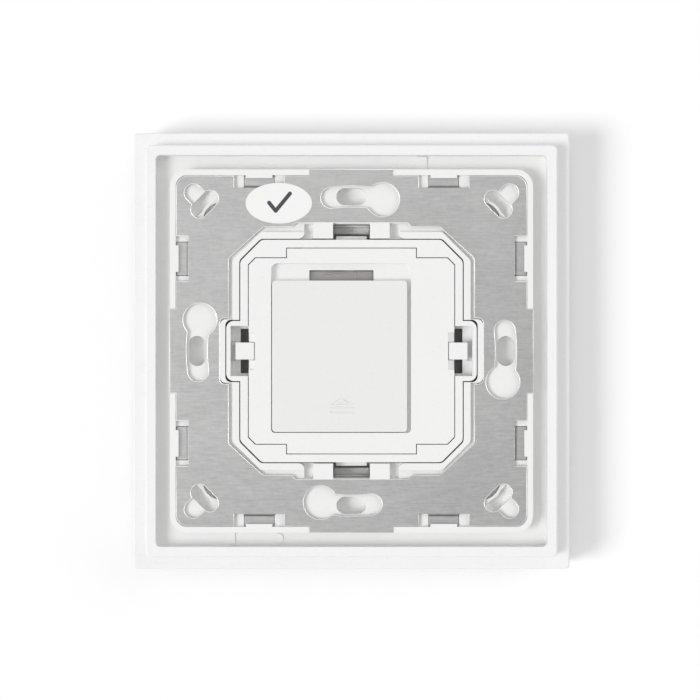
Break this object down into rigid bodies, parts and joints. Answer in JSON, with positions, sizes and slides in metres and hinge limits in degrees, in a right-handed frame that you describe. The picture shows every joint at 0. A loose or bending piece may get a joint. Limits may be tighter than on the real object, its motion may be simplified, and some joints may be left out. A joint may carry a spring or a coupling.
{
  "type": "wireless remote wall switch",
  "caption": "Flush battery wall switch, back up: white frame, steel mounting plate with keyholes, clip-in module with sliding battery door, tilting keys on the front.",
  "frame": {"origin": "centre of the key faces' plane, on which the switch lies face down", "axes": "+Z out of the back towards the wall, +X right and +Y up seen from the back, the keys one above the other along Y"},
  "size_m": [0.086, 0.086, 0.0136],
  "materials": {
    "frame_plastic": "satin white",
    "carrier_plastic": "fine matt white",
    "module_plastic": "fine matt white",
    "key_plastic": "satin white",
    "holder_plastic": "white, fine matt texture",
    "plate_steel": "galvanised, finely brushed",
    "sticker_film": "satin film",
    "cell_steel": null,
    "contact_metal": "nickel plated spring sheet",
    "board_laminate": "dark solder mask",
    "chip_plastic": "moulded black",
    "crystal_metal": "satin",
    "capacitor_ceramic": "fired",
    "aerial_copper": "bare strip",
    "switch_case": "stamped",
    "plunger_plastic": "matt black",
    "led_resin": "clear",
    "pipe_acrylic": "clear"
  },
  "bodies": {
    "switch_body": {"cover_frame": "frame_plastic", "carrier": "carrier_plastic", "mounting_plate": "plate_steel", "inspection_sticker": "sticker_film", "housing": "module_plastic", "back_cover": "module_plastic", "coin_cell": "cell_steel", "battery_negative_contact": "contact_metal", "battery_side_contact": "contact_metal", "circuit_board": "board_laminate", "radio_chip": "chip_plastic", "controller_chip": "chip_plastic", "crystal": "crystal_metal", "capacitors": "capacitor_ceramic", "aerial": "aerial_copper", "indicator_led": "led_resin", "light_pipe": "pipe_acrylic", "key_holder": "holder_plastic", "push_switch_upper_right": "switch_case", "push_switch_upper_left": "switch_case", "push_switch_lower_left": "switch_case", "push_switch_lower_right": "switch_case"},
    "battery_door": {"battery_door": "module_plastic"},
    "key_lower": {"key_lower": "key_plastic"},
    "key_upper": {"key_upper": "key_plastic"},
    "switch_plunger_lower_left": {"switch_plunger_lower_left": "plunger_plastic"},
    "switch_plunger_lower_right": {"switch_plunger_lower_right": "plunger_plastic"},
    "switch_plunger_upper_left": {"switch_plunger_upper_left": "plunger_plastic"},
    "switch_plunger_upper_right": {"switch_plunger_upper_right": "plunger_plastic"}
  },
  "joints": [
    {"name": "door_slide", "type": "slide", "parent": "switch_body", "child": "battery_door", "axis": [0, 1, 0], "range_m": [0, 0.003]},
    {"name": "key_upper_tilt", "type": "hinge", "parent": "switch_body", "child": "key_upper", "pos_m": [0, 0.0024, 0.006], "axis": [1, 0, 0], "range_deg": [0, 1.38], "stiffness_Nm_per_rad": 0.5, "springref_deg": -3.44},
    {"name": "key_lower_tilt", "type": "hinge", "parent": "switch_body", "child": "key_lower", "pos_m": [0, -0.0024, 0.006], "axis": [-1, 0, 0], "range_deg": [0, 1.38], "stiffness_Nm_per_rad": 0.5, "springref_deg": -3.44},
    {"name": "plunger_upper_right_press", "type": "slide", "parent": "switch_body", "child": "switch_plunger_upper_right", "axis": [0, 0, 1], "range_m": [0, 0.00025]},
    {"name": "plunger_upper_left_press", "type": "slide", "parent": "switch_body", "child": "switch_plunger_upper_left", "axis": [0, 0, 1], "range_m": [0, 0.00025]},
    {"name": "plunger_lower_left_press", "type": "slide", "parent": "switch_body", "child": "switch_plunger_lower_left", "axis": [0, 0, 1], "range_m": [0, 0.00025]},
    {"name": "plunger_lower_right_press", "type": "slide", "parent": "switch_body", "child": "switch_plunger_lower_right", "axis": [0, 0, 1], "range_m": [0, 0.00025]}
  ],
  "couplings": [
    {"joint": "plunger_upper_right_press", "follows": "key_upper_tilt", "m_per_rad": 0.0104},
    {"joint": "plunger_upper_left_press", "follows": "key_upper_tilt", "m_per_rad": 0.0104},
    {"joint": "plunger_lower_left_press", "follows": "key_lower_tilt", "m_per_rad": 0.0104},
    {"joint": "plunger_lower_right_press", "follows": "key_lower_tilt", "m_per_rad": 0.0104}
  ]
}
